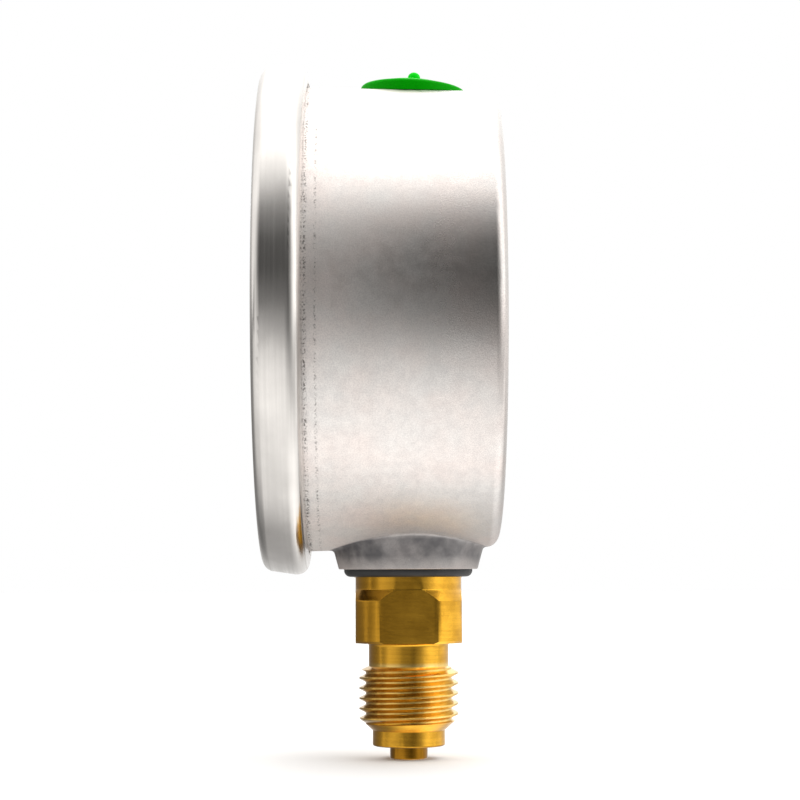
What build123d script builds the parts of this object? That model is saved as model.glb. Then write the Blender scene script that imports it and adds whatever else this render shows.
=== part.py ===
from build123d import *
import math
import os

# Bourdon-tube pressure gauge, nominal size 63, bottom connection G 1/4 B.
# The stem stands along Z, the dial faces -Y, and +X is on the right of someone reading the dial.
# Every piece is drawn about the middle of the dial, and save() lifts it so that the origin lies
# on the sealing face at the end of the stem. Lengths are millimetres and angles are degrees.
# Angles in the dial's plane run anticlockwise from +X, as seen by the reader.

# ---- driving dimensions ----
CENTRE_HEIGHT = 56.7        # sealing face of the stem to the middle of the dial

CASE_FRONT_RADIUS = 31.0    # outside, where the case meets the bezel
CASE_BACK_RADIUS = 30.45
CASE_BACK = 12.0            # outside face of the case back
CASE_WALL = 0.8
CASE_CORNER = 1.6
FLANGE_FRONT = -14.6
FLANGE_RADIUS = 32.9

BEZEL_FRONT = -19.2
BEZEL_REAR = -13.0
BEZEL_RADIUS = 34.05
BEZEL_OPENING = 28.9
BEZEL_WALL = 0.8

COLLAR_ROOT_RADIUS = 11.8    # where its taper would end inside the case
COLLAR_ROOT = -24.0
COLLAR_LIP_RADIUS = 9.25
COLLAR_LIP = -33.4
COLLAR_FILLET = 0.5
LIP_ROUNDING = 0.22

WINDOW_RADIUS = 31.9
WINDOW_FRONT = -18.35
WINDOW_BACK = -16.4

SEAL_RADIUS = 8.55
SEAL_BOTTOM = -34.4
NECK_RADIUS = 7.175
NECK_END = -36.05
BAR_RADIUS = 8.0
BAR_TOP = -37.5
BAR_BOTTOM = -43.1
ACROSS_FLATS = 14.0
RELIEF_RADIUS = 5.3
THREAD_TOP = -46.2
THREAD_BOTTOM = -53.0
THREAD_RADIUS = 6.578       # G 1/4 B, major diameter 13.157
THREAD_PITCH = 1.337
THREAD_DEPTH = 0.856
THREAD_CREST = 0.22
THREAD_START_ANGLE = 217.0  # where the crest stands at the top of the boss
THREAD_FLANK_STEPS = 6
BOSS_RADIUS = 4.8
BOSS_TOP = -54.65
STEM_FACE = -CENTRE_HEIGHT
SPIGOT_RADIUS = 2.5
SPIGOT_LENGTH = 1.7
SPIGOT_ROUNDING = 0.2
INLET_RADIUS = 1.5
INLET_TOP = -24.2
PORT_RADIUS = 0.95          # from the inlet to the tube's root
PORT_LENGTH = 8.2
RESTRICTOR_LENGTH = 3.5
RESTRICTOR_SET_BACK = 0.9
ORIFICE_RADIUS = 0.25

HEAD_HALF_WIDTH = 10.5      # the socket's block inside the case
HEAD_HALF_DEPTH = 4.9
HEAD_TOP = -17.4
HEAD_BOTTOM = -27.8
TONGUE_HALF_WIDTH = 7.5
TONGUE_TOP = -11.5

TUBE_RADIUS = 22.5          # centreline of the Bourdon tube
TUBE_WIDTH = 8.0            # along Y
TUBE_THICKNESS = 3.2        # radially
TUBE_WALL = 0.5
TUBE_ROOT_ANGLE = 252.0
TUBE_TIP_ANGLE = -36.0
HEAD_SLOT_END = 236.0

FRONT_PLATE = (-9.6, -8.6)  # front and back faces of the movement's plates
BACK_PLATE = (-3.2, -2.2)
PLATE_EDGE = 2.4
SECTOR_LEVEL = (-6.6, -5.8)
LINK_LEVEL = (-5.6, -5.1)
PINION_LEVEL = (-7.4, -5.0)
DIAL_LEVEL = (-12.4, -11.9)
POINTER_LEVEL = (-14.4, -14.0)
HAIRSPRING_LEVEL = (-4.6, -4.0)
EAR_LEVEL = (-4.9, -4.1)    # of the tube's end piece

MODULE = 0.25
PINION_TEETH = 12
SECTOR_FULL_TEETH = 96      # if it were a whole wheel
PRESSURE_ANGLE = 20.0
PINION_ADDENDUM = 0.25
SECTOR_ADDENDUM = 0.16
TOOTH_CLEARANCE = 0.06
TOOTH_THINNING = 0.03       # taken off each tooth at the pitch circle, for backlash
SECTOR_DIRECTION = -61.0    # from the pinion to the sector's arbor
SECTOR_FIRST_TOOTH = -11    # counted from the tooth in mesh at rest
SECTOR_LAST_TOOTH = 2
TAIL_LENGTH = 4.0
TAIL_ANGLE = -112.0
TIP_PIN = (16.6, -15.6)
LINK_PIN_RADIUS = 0.6
RUNNING_CLEARANCE = 0.05
OPEN_PIVOT_CLEARANCE = 0.15  # the linkage's free end, see the tip pin's hole in the link
PIVOT_RADIUS = 0.5          # the arbors' ends, in the plates
SHAFT_RADIUS = 0.75         # the pinion's arbor where it leaves the front plate
SHOULDER_RADIUS = 1.0       # both arbors between the plates
SHOULDER_LEVEL = (-8.45, -3.35)
HAIRSPRING_PITCH = 0.7
HAIRSPRING_STRIP = 0.1
HAIRSPRING_START = 1.62
HAIRSPRING_HALF_TURNS = 8

DIAL_RADIUS = 28.9
DIAL_SCREWS = [(-9.0, -3.5), (9.0, -3.5)]
DIAL_SCREW_RADIUS = 0.7
SCREW_RADIUS = 0.8          # of the movement's and the mounting screws
PILLARS = [(-1.5, 6.5), (-8.5, -11.5), (14.0, -6.0)]
MOUNTING_SCREWS = [(-5.2, -15.2), (5.2, -15.2)]
HAIRSPRING_STUD = (4.83, 0.0)

POINTER_REST_ANGLE = 225.0
POINTER_LENGTH = 23.5
POINTER_TAIL = 8.5
STOP_RADIUS = 15.0

PLUG_Y = 0.9
PLUG_RADIUS = 7.1
PLUG_HOLE_RADIUS = 6.0
PLUG_TILT = 3.5
PLUG_DOME_HEIGHT = 1.5
PLUG_SEAT = 30.72           # height of the crown's underside
NUB_RADIUS = 0.85
NUB_RISE = 1.55             # above the crown
PLUG_STEM_MIDDLE = 28.1
PLUG_STEM_LENGTH = 6.2


# ---- drawing helpers ----
def polar(radius, angle, centre=(0, 0)):
    """A point of the dial's plane."""
    turn = math.radians(angle)
    return (centre[0] + radius * math.cos(turn), centre[1] + radius * math.sin(turn))


def turned(outline, about):
    """Solid of revolution. The outline's entries are (radius, station, corner rounding)."""
    points = [(radius, station) for radius, station, _ in outline]
    roundings = [rounding for _, _, rounding in outline]
    face = make_face(FilletPolyline(*points, radius=roundings, close=True))
    if about == Axis.Z:
        face = Plane.XZ * face
    return revolve(face, axis=about)


def plate(outline, level):
    """A flat piece drawn in the dial's plane, between its front and back faces."""
    front, back = level
    return extrude(Plane.XZ.offset(-back) * outline, amount=back - front)


def disc(radius, centre=(0, 0)):
    return Pos(*centre) * Circle(radius)


def rod(radius, centre, level):
    return plate(disc(radius, centre), level)


def plane_rod(radius, start, end):
    """A round rod lying in the dial's plane at the stem's depth."""
    begin = Vector(start[0], 0, start[1])
    run = Vector(end[0], 0, end[1]) - begin
    return extrude(Plane(origin=begin, z_dir=run) * Circle(radius), amount=run.length)


def bar(start, end, width):
    """A straight strip between two points of the dial's plane."""
    run = Vector(*end) - Vector(*start)
    middle = (Vector(*end) + Vector(*start)) * 0.5
    angle = math.degrees(math.atan2(run.Y, run.X))
    return Pos(middle.X, middle.Y) * Rot(0, 0, angle) * Rectangle(run.length, width)


def arc_band(inner, outer, start, end, centre=(0, 0)):
    """Part of a flat ring."""
    middle = (start + end) / 2
    outer_arc = ThreePointArc(*[polar(outer, angle, centre) for angle in (start, middle, end)])
    inner_arc = ThreePointArc(*[polar(inner, angle, centre) for angle in (end, middle, start)])
    side = Line(polar(outer, end, centre), polar(inner, end, centre))
    other_side = Line(polar(inner, start, centre), polar(outer, start, centre))
    return make_face([outer_arc, side, inner_arc, other_side])


def rounded_hull(centres, radius):
    """The outline of a plate that wraps round these points."""
    circles = [disc(radius, centre) for centre in centres]
    return make_hull([edge for circle in circles for edge in circle.edges()])


def slotted_screw(centre, head_radius, head_level, shank_radius, shank_level):
    """A cheese-head screw along Y. Its head is on the side where head_level lies."""
    head = rod(head_radius, centre, head_level)
    slot = bar(*[polar(head_radius + 0.2, angle, centre) for angle in (35, 215)], 0.4)
    front, back = head_level
    facing_reader = front < shank_level[0]
    slot_level = (front, front + 0.4) if facing_reader else (back - 0.25, back)
    return head + rod(shank_radius, centre, shank_level) - plate(slot, slot_level)


def save(node, shape):
    export_step(Pos(0, 0, CENTRE_HEIGHT) * shape, f"parts/{node}.step")


# ---- the case and what closes it ----
def case_form(inset):
    """The outside of the deep-drawn case, or its inside when inset is the wall."""
    back = CASE_BACK - inset
    corner = CASE_CORNER - inset
    flange = FLANGE_FRONT + CASE_WALL
    body = turned(
        [
            (0, back, 0),
            (CASE_BACK_RADIUS - inset, back, corner),
            (CASE_FRONT_RADIUS - inset, flange, 0),
            (CASE_FRONT_RADIUS - inset, FLANGE_FRONT - inset, 0),
            (0, FLANGE_FRONT - inset, 0),
        ],
        Axis.Y,
    )
    collar = turned(
        [
            (0, COLLAR_ROOT, 0),
            (COLLAR_ROOT_RADIUS - inset, COLLAR_ROOT, 0),
            (COLLAR_LIP_RADIUS - inset, COLLAR_LIP - inset, 0),
            (0, COLLAR_LIP - inset, 0),
        ],
        Axis.Z,
    )
    joined = body + collar
    saddle = [edge for edge in joined.edges() if edge.geom_type == GeomType.BSPLINE]
    return fillet(saddle, COLLAR_FILLET + inset * 0.5)


def make_case():
    flange = turned(
        [
            (CASE_FRONT_RADIUS - CASE_WALL, FLANGE_FRONT, 0.6),
            (FLANGE_RADIUS, FLANGE_FRONT, 0),
            (FLANGE_RADIUS, FLANGE_FRONT + CASE_WALL, 0),
            (CASE_FRONT_RADIUS - 0.05, FLANGE_FRONT + CASE_WALL, 0),
            (CASE_FRONT_RADIUS - 0.05, FLANGE_FRONT + 2 * CASE_WALL, 0),
            (CASE_FRONT_RADIUS - CASE_WALL, FLANGE_FRONT + 2 * CASE_WALL, 0),
        ],
        Axis.Y,
    )
    shell = case_form(0) - case_form(CASE_WALL) + flange
    circles = shell.edges().filter_by(GeomType.CIRCLE)
    lip = [edge for edge in circles if abs(edge.center().Z - COLLAR_LIP) < 0.01]
    shell = fillet(lip, LIP_ROUNDING)
    plug_hole = Pos(0, PLUG_Y, 30) * Cylinder(PLUG_HOLE_RADIUS, 10)
    return shell - plug_hole


def make_bezel_ring():
    rear_inside = FLANGE_FRONT + CASE_WALL + 0.05
    return turned(
        [
            (BEZEL_OPENING, BEZEL_FRONT, 0.3),
            (BEZEL_RADIUS - 0.6, BEZEL_FRONT, 1.4),
            (BEZEL_RADIUS, BEZEL_REAR - 2.0, 0),
            (BEZEL_RADIUS, BEZEL_REAR - 0.45, 1.5),
            (31.35, BEZEL_REAR, 0.25),
            (31.35, rear_inside, 0.2),
            (BEZEL_RADIUS - BEZEL_WALL, rear_inside, 0.5),
            (BEZEL_RADIUS - BEZEL_WALL, BEZEL_REAR - 2.0, 0),
            (BEZEL_RADIUS - BEZEL_WALL - 0.1, BEZEL_FRONT + BEZEL_WALL, 0.5),
            (BEZEL_OPENING, BEZEL_FRONT + BEZEL_WALL, 0.3),
        ],
        Axis.Y,
    )


def make_window():
    return turned(
        [
            (0, WINDOW_FRONT, 0),
            (WINDOW_RADIUS, WINDOW_FRONT, 0.2),
            (WINDOW_RADIUS, WINDOW_BACK, 0.2),
            (0, WINDOW_BACK, 0),
        ],
        Axis.Y,
    )


def make_window_gasket():
    """An L section: it carries the back of the window and wraps its edge."""
    return turned(
        [
            (29.9, WINDOW_BACK, 0.3),
            (WINDOW_RADIUS, WINDOW_BACK, 0),
            (WINDOW_RADIUS, WINDOW_FRONT + 0.2, 0),
            (33.0, WINDOW_FRONT + 0.2, 0.3),
            (33.0, FLANGE_FRONT, 0),
            (29.9, FLANGE_FRONT, 0.4),
        ],
        Axis.Y,
    )


def make_filler_plug():
    """Rubber filling plug: a low dome with a venting nub, leaning back with the case's taper."""
    dome = turned(
        [
            (0, -2, 0),
            (PLUG_RADIUS, -2, 0),
            (PLUG_RADIUS, 0.62, 0.45),
            (4.2, PLUG_DOME_HEIGHT - 0.12, 2.5),
            (0, PLUG_DOME_HEIGHT, 0),
        ],
        Axis.Z,
    )
    nub_top = PLUG_DOME_HEIGHT + NUB_RISE
    nub = Pos(0, 0, nub_top / 2) * Cylinder(NUB_RADIUS, nub_top)
    nub = fillet(nub.faces().sort_by(Axis.Z)[-1].edges(), 0.94 * NUB_RADIUS)
    crown = Pos(0, PLUG_Y, PLUG_SEAT) * Rot(-PLUG_TILT, 0, 0) * (dome + nub)
    stem = Cylinder(PLUG_HOLE_RADIUS - RUNNING_CLEARANCE, PLUG_STEM_LENGTH)
    stem = Pos(0, PLUG_Y, PLUG_STEM_MIDDLE) * stem
    under_crown = turned(
        [
            (0, CASE_BACK - CASE_CORNER + 4, 0),
            (CASE_BACK_RADIUS + 0.03, CASE_BACK - CASE_CORNER + 4, 0),
            (CASE_FRONT_RADIUS + 0.05, FLANGE_FRONT + CASE_WALL, 0),
            (0, FLANGE_FRONT + CASE_WALL, 0),
        ],
        Axis.Y,
    )
    return crown - under_crown + stem


# ---- the socket and the pressure element ----
def tube_section(growth):
    """The Bourdon tube's flat oval, standing at its root, larger by growth all round."""
    turn = math.radians(TUBE_ROOT_ANGLE)
    radial = (math.cos(turn), 0, math.sin(turn))
    across = Plane(origin=(0, 0, 0), x_dir=radial, z_dir=(-math.sin(turn), 0, math.cos(turn)))
    oval = Rot(0, 0, 90) * SlotOverall(TUBE_WIDTH + 2 * growth, TUBE_THICKNESS + 2 * growth)
    return across * (Pos(TUBE_RADIUS, 0) * oval)


def tube_sweep(growth, start, end):
    """The oval carried clockwise round the dial's centre between two angles."""
    swept = revolve(tube_section(growth), axis=Axis.Y, revolution_arc=start - end)
    return Rot(0, TUBE_ROOT_ANGLE - start, 0) * swept


def make_bourdon_tube():
    whole = tube_sweep(0, TUBE_ROOT_ANGLE, TUBE_TIP_ANGLE)
    bore = tube_sweep(-TUBE_WALL, TUBE_ROOT_ANGLE, TUBE_TIP_ANGLE)
    return whole - bore


def thread_section():
    """The pipe thread cut square across its axis: crest, flank, root and flank, in polar form."""
    root = THREAD_RADIUS - THREAD_DEPTH
    land = 360 * THREAD_CREST / THREAD_PITCH
    flank = 180 - land
    shares = [step / THREAD_FLANK_STEPS for step in range(THREAD_FLANK_STEPS + 1)]
    falling = [polar(THREAD_RADIUS - THREAD_DEPTH * share, land / 2 + flank * share) for share in shares]
    rising = [(x, -y) for x, y in reversed(falling)]
    crest_arc = ThreePointArc(rising[-1], (THREAD_RADIUS, 0), falling[0])
    root_arc = ThreePointArc(falling[-1], (-root, 0), rising[0])
    return make_face([crest_arc, Spline(*falling), root_arc, Spline(*rising)])


def threaded_length():
    """The section twisted upwards at the thread's pitch, with a chamfer at each end."""
    height = THREAD_TOP - BOSS_TOP
    start = Pos(0, 0, BOSS_TOP) * Rot(0, 0, THREAD_START_ANGLE) * thread_section()
    twist = 360 * height / THREAD_PITCH
    helical = Solid.extrude_linear_with_rotation(start.face(), (0, 0, BOSS_TOP), (0, 0, height), twist)
    envelope = turned(
        [
            (0, BOSS_TOP, 0),
            (BOSS_RADIUS, BOSS_TOP, 0),
            (THREAD_RADIUS + 0.05, THREAD_BOTTOM, 0),
            (THREAD_RADIUS + 0.05, THREAD_TOP - 0.6, 0),
            (RELIEF_RADIUS, THREAD_TOP, 0),
            (0, THREAD_TOP, 0),
        ],
        Axis.Z,
    )
    return helical & envelope


def make_socket():
    end = turned(
        [
            (0, STEM_FACE - SPIGOT_LENGTH, 0),
            (SPIGOT_RADIUS, STEM_FACE - SPIGOT_LENGTH, SPIGOT_ROUNDING),
            (SPIGOT_RADIUS, STEM_FACE, 0),
            (BOSS_RADIUS, STEM_FACE, 0.25),
            (BOSS_RADIUS, BOSS_TOP, 0),
            (0, BOSS_TOP, 0),
        ],
        Axis.Z,
    )
    stem = turned(
        [
            (0, THREAD_TOP, 0),
            (RELIEF_RADIUS, THREAD_TOP, 0),
            (RELIEF_RADIUS, BAR_BOTTOM, 0.45),
            (BAR_RADIUS - 0.3, BAR_BOTTOM, 0),
            (BAR_RADIUS, BAR_BOTTOM + 0.3, 0),
            (BAR_RADIUS, BAR_TOP, 0.3),
            (NECK_RADIUS, NECK_END, 0.4),
            (NECK_RADIUS, HEAD_BOTTOM + 0.5, 0),
            (0, HEAD_BOTTOM + 0.5, 0),
        ],
        Axis.Z,
    )
    flats_height = SEAL_BOTTOM - BAR_BOTTOM
    surround = Box(40, 40, flats_height) - Box(ACROSS_FLATS, ACROSS_FLATS, flats_height)
    stem -= Pos(0, 0, BAR_BOTTOM + flats_height / 2 - 0.1) * surround
    stem += end + threaded_length()

    head_height = HEAD_TOP - HEAD_BOTTOM
    head = Box(2 * HEAD_HALF_WIDTH, 2 * HEAD_HALF_DEPTH, head_height)
    head = chamfer(head.edges().filter_by(Axis.Z), 0.6)
    tongue = Rectangle(2 * TONGUE_HALF_WIDTH, TONGUE_TOP - HEAD_TOP + 1)
    tongue_middle = (TONGUE_TOP + HEAD_TOP - 1) / 2
    block = Pos(0, 0, (HEAD_TOP + HEAD_BOTTOM) / 2) * head
    block += plate(Pos(0, tongue_middle) * tongue, (BACK_PLATE[1], -BACK_PLATE[1]))
    block -= tube_sweep(0, TUBE_ROOT_ANGLE, HEAD_SLOT_END)
    for screw in MOUNTING_SCREWS:
        block -= rod(SCREW_RADIUS, screw, (BACK_PLATE[1], 1.0))

    inlet_height = INLET_TOP - (STEM_FACE - SPIGOT_LENGTH)
    inlet = Pos(0, 0, INLET_TOP - inlet_height / 2) * Cylinder(INLET_RADIUS, inlet_height)
    root = polar(TUBE_RADIUS, TUBE_ROOT_ANGLE)
    port_direction = TUBE_ROOT_ANGLE + 90
    port_start = polar(-0.3, port_direction, root)
    port = plane_rod(PORT_RADIUS, port_start, polar(PORT_LENGTH, port_direction, root))
    return stem + block - inlet - port


def make_socket_seal():
    """Pressed between the stem and the collar, with a lip below the collar's mouth."""
    return turned(
        [
            (NECK_RADIUS, HEAD_BOTTOM - 1.2, 0),
            (COLLAR_LIP_RADIUS - CASE_WALL - 0.05, HEAD_BOTTOM - 1.2, 0.3),
            (COLLAR_LIP_RADIUS - CASE_WALL - 0.05, COLLAR_LIP, 0),
            (SEAL_RADIUS, COLLAR_LIP, 0),
            (SEAL_RADIUS, SEAL_BOTTOM, 0.85),
            (NECK_RADIUS, SEAL_BOTTOM, 0),
        ],
        Axis.Z,
    )


def make_restrictor_screw():
    bottom = STEM_FACE - SPIGOT_LENGTH + RESTRICTOR_SET_BACK
    middle = Pos(0, 0, bottom + RESTRICTOR_LENGTH / 2)
    body = middle * Cylinder(INLET_RADIUS - 0.02, RESTRICTOR_LENGTH)
    orifice = middle * Cylinder(ORIFICE_RADIUS, RESTRICTOR_LENGTH)
    slot = Pos(0, 0, bottom) * Box(4, 0.5, 1.2)
    return body - orifice - slot


# ---- the tube's tip and the linkage ----
def make_tube_end_piece():
    """The cap soldered over the tube's end, with an ear for the link."""
    inner = TUBE_RADIUS - TUBE_THICKNESS / 2 - 0.7
    outer = TUBE_RADIUS + TUBE_THICKNESS / 2 + 0.7
    half_depth = TUBE_WIDTH / 2 + 0.7
    cap = arc_band(inner, outer, TUBE_TIP_ANGLE + 3, TUBE_TIP_ANGLE - 4)
    ear_foot = polar(TUBE_RADIUS, TUBE_TIP_ANGLE - 2.5)
    ear = bar(ear_foot, TIP_PIN, 3.0) + disc(1.5, TIP_PIN)
    cap = plate(cap, (-half_depth, half_depth)) + plate(ear, EAR_LEVEL)
    cap -= tube_sweep(0.03, TUBE_TIP_ANGLE + 4, TUBE_TIP_ANGLE - 0.05)
    return cap - rod(LINK_PIN_RADIUS, TIP_PIN, (-5, -4))


def make_link_pin():
    """Riveted in the ear, with its head in front of the link."""
    return rod(LINK_PIN_RADIUS, TIP_PIN, (-5.7, -4.1)) + rod(1.1, TIP_PIN, (-6.1, -5.7))


def tail_point():
    return polar(TAIL_LENGTH, TAIL_ANGLE, sector_centre())


def make_link():
    tail = tail_point()
    strip = bar(tail, TIP_PIN, 1.5) + disc(1.35, tail) + disc(1.35, TIP_PIN)
    strip -= disc(LINK_PIN_RADIUS + RUNNING_CLEARANCE, tail)
    strip -= disc(LINK_PIN_RADIUS + OPEN_PIVOT_CLEARANCE, TIP_PIN)
    return plate(strip, LINK_LEVEL)


def make_link_screw():
    """Shoulder screw through the link into the sector's tail, with its head behind."""
    return slotted_screw(tail_point(), 1.05, (-5.0, -4.55), LINK_PIN_RADIUS, (SECTOR_LEVEL[0], -5.0))


# ---- the movement ----
def sector_centre():
    distance = MODULE * (PINION_TEETH + SECTOR_FULL_TEETH) / 2
    return polar(distance, SECTOR_DIRECTION)


def involute_tooth(teeth, addendum, dedendum, direction, centre):
    """One tooth with involute flanks, each drawn as an arc through three of its points."""
    pitch_radius = MODULE * teeth / 2
    base_radius = pitch_radius * math.cos(math.radians(PRESSURE_ANGLE))
    root_radius = pitch_radius - dedendum
    tip_radius = pitch_radius + addendum
    foot_radius = max(base_radius, root_radius)

    def involute(angle):
        return math.tan(angle) - angle

    def half_angle(radius):
        thickness = math.pi * MODULE / 2 - TOOTH_THINNING
        at_pitch = thickness / (2 * pitch_radius) + involute(math.radians(PRESSURE_ANGLE))
        return math.degrees(at_pitch - involute(math.acos(min(1.0, base_radius / radius))))

    def flank(side):
        stations = (foot_radius, (foot_radius + tip_radius) / 2, tip_radius)
        return [polar(r, direction + side * half_angle(r), centre) for r in stations]

    left = flank(1)
    right = flank(-1)
    sunk = root_radius - 0.1
    left_foot = polar(sunk, direction + half_angle(foot_radius), centre)
    right_foot = polar(sunk, direction - half_angle(foot_radius), centre)
    tip = polar(tip_radius, direction, centre)
    return make_face(
        [
            Line(left_foot, left[0]),
            ThreePointArc(*left),
            ThreePointArc(left[2], tip, right[2]),
            ThreePointArc(*reversed(right)),
            Line(right[0], right_foot),
            Line(right_foot, left_foot),
        ]
    )


def make_sector_gear():
    """Toothed arc, two spokes, hub and the tail that the link pulls."""
    centre = sector_centre()
    mesh_direction = SECTOR_DIRECTION + 180
    step = 360 / SECTOR_FULL_TEETH
    dedendum = PINION_ADDENDUM + TOOTH_CLEARANCE
    root_radius = MODULE * SECTOR_FULL_TEETH / 2 - dedendum
    first = mesh_direction + (SECTOR_FIRST_TOOTH - 0.45) * step
    last = mesh_direction + (SECTOR_LAST_TOOTH + 0.45) * step
    outline = arc_band(root_radius - 2.0, root_radius, first, last, centre)
    for direction in (first + 3.5, last - 3.5):
        outline += bar(centre, polar(root_radius - 1.0, direction, centre), 1.3)
    outline += disc(2.2, centre)
    outline += bar(centre, tail_point(), 2.0)
    outline += disc(1.4, tail_point())
    for number in range(SECTOR_FIRST_TOOTH, SECTOR_LAST_TOOTH + 1):
        direction = mesh_direction + number * step
        outline += involute_tooth(SECTOR_FULL_TEETH, SECTOR_ADDENDUM, dedendum, direction, centre)
    outline -= disc(1.0, centre)
    outline -= disc(LINK_PIN_RADIUS, tail_point())
    return plate(outline, SECTOR_LEVEL)


def make_sector_arbor():
    centre = sector_centre()
    arbor = rod(PIVOT_RADIUS, centre, (-9.5, -2.3))
    arbor += rod(SHOULDER_RADIUS, centre, SHOULDER_LEVEL)
    return arbor + rod(1.8, centre, (SECTOR_LEVEL[1], -4.9))


def make_pinion_arbor():
    """Pinion and pointer shaft in one, tapered where the pointer is driven on."""
    outline = disc(MODULE * PINION_TEETH / 2 - SECTOR_ADDENDUM - TOOTH_CLEARANCE)
    step = 360 / PINION_TEETH
    for number in range(PINION_TEETH):
        direction = SECTOR_DIRECTION + (number + 0.5) * step
        dedendum = SECTOR_ADDENDUM + TOOTH_CLEARANCE
        outline += involute_tooth(PINION_TEETH, PINION_ADDENDUM, dedendum, direction, (0, 0))
    arbor = turned(
        [
            (0, -15.2, 0),
            (0.6, -15.2, 0),
            (SHAFT_RADIUS, -12.0, 0),
            (SHAFT_RADIUS, SHOULDER_LEVEL[0], 0),
            (SHOULDER_RADIUS, SHOULDER_LEVEL[0], 0),
            (SHOULDER_RADIUS, SHOULDER_LEVEL[1], 0),
            (PIVOT_RADIUS, SHOULDER_LEVEL[1], 0),
            (PIVOT_RADIUS, -2.3, 0),
            (0, -2.3, 0),
        ],
        Axis.Y,
    )
    return arbor + plate(outline, PINION_LEVEL)


def make_hairspring_collet():
    ring = disc(1.35) - disc(SHOULDER_RADIUS)
    ring -= bar((0, 0), (-2, 0), 0.25)
    return plate(ring, (-4.75, -3.85))


def make_hairspring():
    """A flat spiral made of half rings whose centres alternate."""
    spiral = None
    for number in range(HAIRSPRING_HALF_TURNS):
        side = -1 if number % 2 == 0 else 1
        centre = (side * HAIRSPRING_PITCH / 4, 0)
        radius = HAIRSPRING_START + number * HAIRSPRING_PITCH / 2
        start = 0 if number % 2 == 0 else 180
        inner = radius - HAIRSPRING_STRIP / 2
        half = arc_band(inner, inner + HAIRSPRING_STRIP, start, start + 180, centre)
        spiral = half if spiral is None else spiral + half
    return plate(spiral, HAIRSPRING_LEVEL)


def make_hairspring_stud():
    post = rod(0.5, HAIRSPRING_STUD, (-4.9, BACK_PLATE[0]))
    return post + rod(0.4, HAIRSPRING_STUD, (BACK_PLATE[0] - 0.1, BACK_PLATE[1]))


def make_front_plate():
    centre = sector_centre()
    outline = rounded_hull(PILLARS + DIAL_SCREWS + [centre], PLATE_EDGE)
    outline -= disc(SHAFT_RADIUS + RUNNING_CLEARANCE)
    outline -= disc(PIVOT_RADIUS + RUNNING_CLEARANCE, centre)
    for pillar in PILLARS:
        outline -= disc(0.85, pillar)
    for screw in DIAL_SCREWS:
        outline -= disc(DIAL_SCREW_RADIUS, screw)
    return plate(outline, FRONT_PLATE)


def make_back_plate():
    centre = sector_centre()
    outline = rounded_hull(PILLARS + MOUNTING_SCREWS, 2.2)
    outline -= disc(PIVOT_RADIUS + RUNNING_CLEARANCE)
    outline -= disc(PIVOT_RADIUS + RUNNING_CLEARANCE, centre)
    outline -= disc(0.4, HAIRSPRING_STUD)
    for pillar in PILLARS:
        outline -= disc(0.9, pillar)
    for screw in MOUNTING_SCREWS:
        outline -= disc(0.9, screw)
    return plate(outline, BACK_PLATE)


def make_pillars():
    """Riveted in the back plate and tapped at the front."""
    pillars = []
    for centre in PILLARS:
        pillar = rod(1.5, centre, (FRONT_PLATE[1], BACK_PLATE[0]))
        pillar += rod(0.9, centre, (BACK_PLATE[0] - 0.2, BACK_PLATE[1] - 0.05))
        pillar -= rod(SCREW_RADIUS, centre, (FRONT_PLATE[1], FRONT_PLATE[1] + 2.0))
        pillars.append(pillar)
    return Compound(children=pillars)


def make_screws(centres, head_radius, head_level, shank_radius, shank_level):
    sizes = (head_radius, head_level, shank_radius, shank_level)
    return Compound(children=[slotted_screw(centre, *sizes) for centre in centres])


def make_movement_screws():
    front = FRONT_PLATE[0]
    return make_screws(PILLARS, 1.55, (front - 0.9, front), SCREW_RADIUS, (front, -7.0))


def make_mounting_screws():
    front = BACK_PLATE[0]
    return make_screws(MOUNTING_SCREWS, 1.5, (front - 1.0, front), SCREW_RADIUS, (front, 0.8))


def make_dial_screws():
    front = DIAL_LEVEL[0]
    return make_screws(DIAL_SCREWS, 1.5, (front - 0.9, front), DIAL_SCREW_RADIUS, (front, -8.7))


# ---- the dial and the pointer ----
def stop_pin_point():
    """Beside the pointer at its rest, on the side that it never sweeps."""
    gap = pointer_half_width(STOP_RADIUS) + 0.5 + 0.03
    along = polar(STOP_RADIUS, POINTER_REST_ANGLE)
    return polar(gap, POINTER_REST_ANGLE + 90, along)


def pointer_half_width(radius):
    return 1.15 - 0.85 * radius / POINTER_LENGTH


def make_dial():
    outline = disc(DIAL_RADIUS) - disc(1.6) - disc(0.5, stop_pin_point())
    for screw in DIAL_SCREWS:
        outline -= disc(0.8, screw)
    return plate(outline, DIAL_LEVEL)


def make_dial_posts():
    tube = [disc(1.6, centre) - disc(0.8, centre) for centre in DIAL_SCREWS]
    return Compound(children=[plate(ring, (DIAL_LEVEL[1], FRONT_PLATE[0])) for ring in tube])


def make_pointer():
    """A tapered needle with a round counterweight, drawn upright and turned to its rest."""
    needle = make_face(
        Polyline(
            (-pointer_half_width(0), 0),
            (-pointer_half_width(POINTER_LENGTH), POINTER_LENGTH - 0.6),
            (0, POINTER_LENGTH),
            (pointer_half_width(POINTER_LENGTH), POINTER_LENGTH - 0.6),
            (pointer_half_width(0), 0),
            close=True,
        )
    )
    tail = bar((0, 0), (0, -POINTER_TAIL), 1.6) + disc(1.9, (0, -POINTER_TAIL + 1.9))
    outline = needle + tail + disc(2.3) - disc(1.3)
    return plate(Rot(0, 0, POINTER_REST_ANGLE - 90) * outline, POINTER_LEVEL)


def make_pointer_hub():
    hub = turned(
        [
            (0.6, -15.3, 0),
            (1.9, -15.3, 0.3),
            (1.9, POINTER_LEVEL[0], 0),
            (1.3, POINTER_LEVEL[0], 0),
            (1.3, -13.0, 0.1),
            (0.6, -13.0, 0),
        ],
        Axis.Y,
    )
    return hub - make_pinion_arbor()


def make_pointer_stop_pin():
    return rod(0.5, stop_pin_point(), (-14.7, DIAL_LEVEL[1]))


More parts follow.
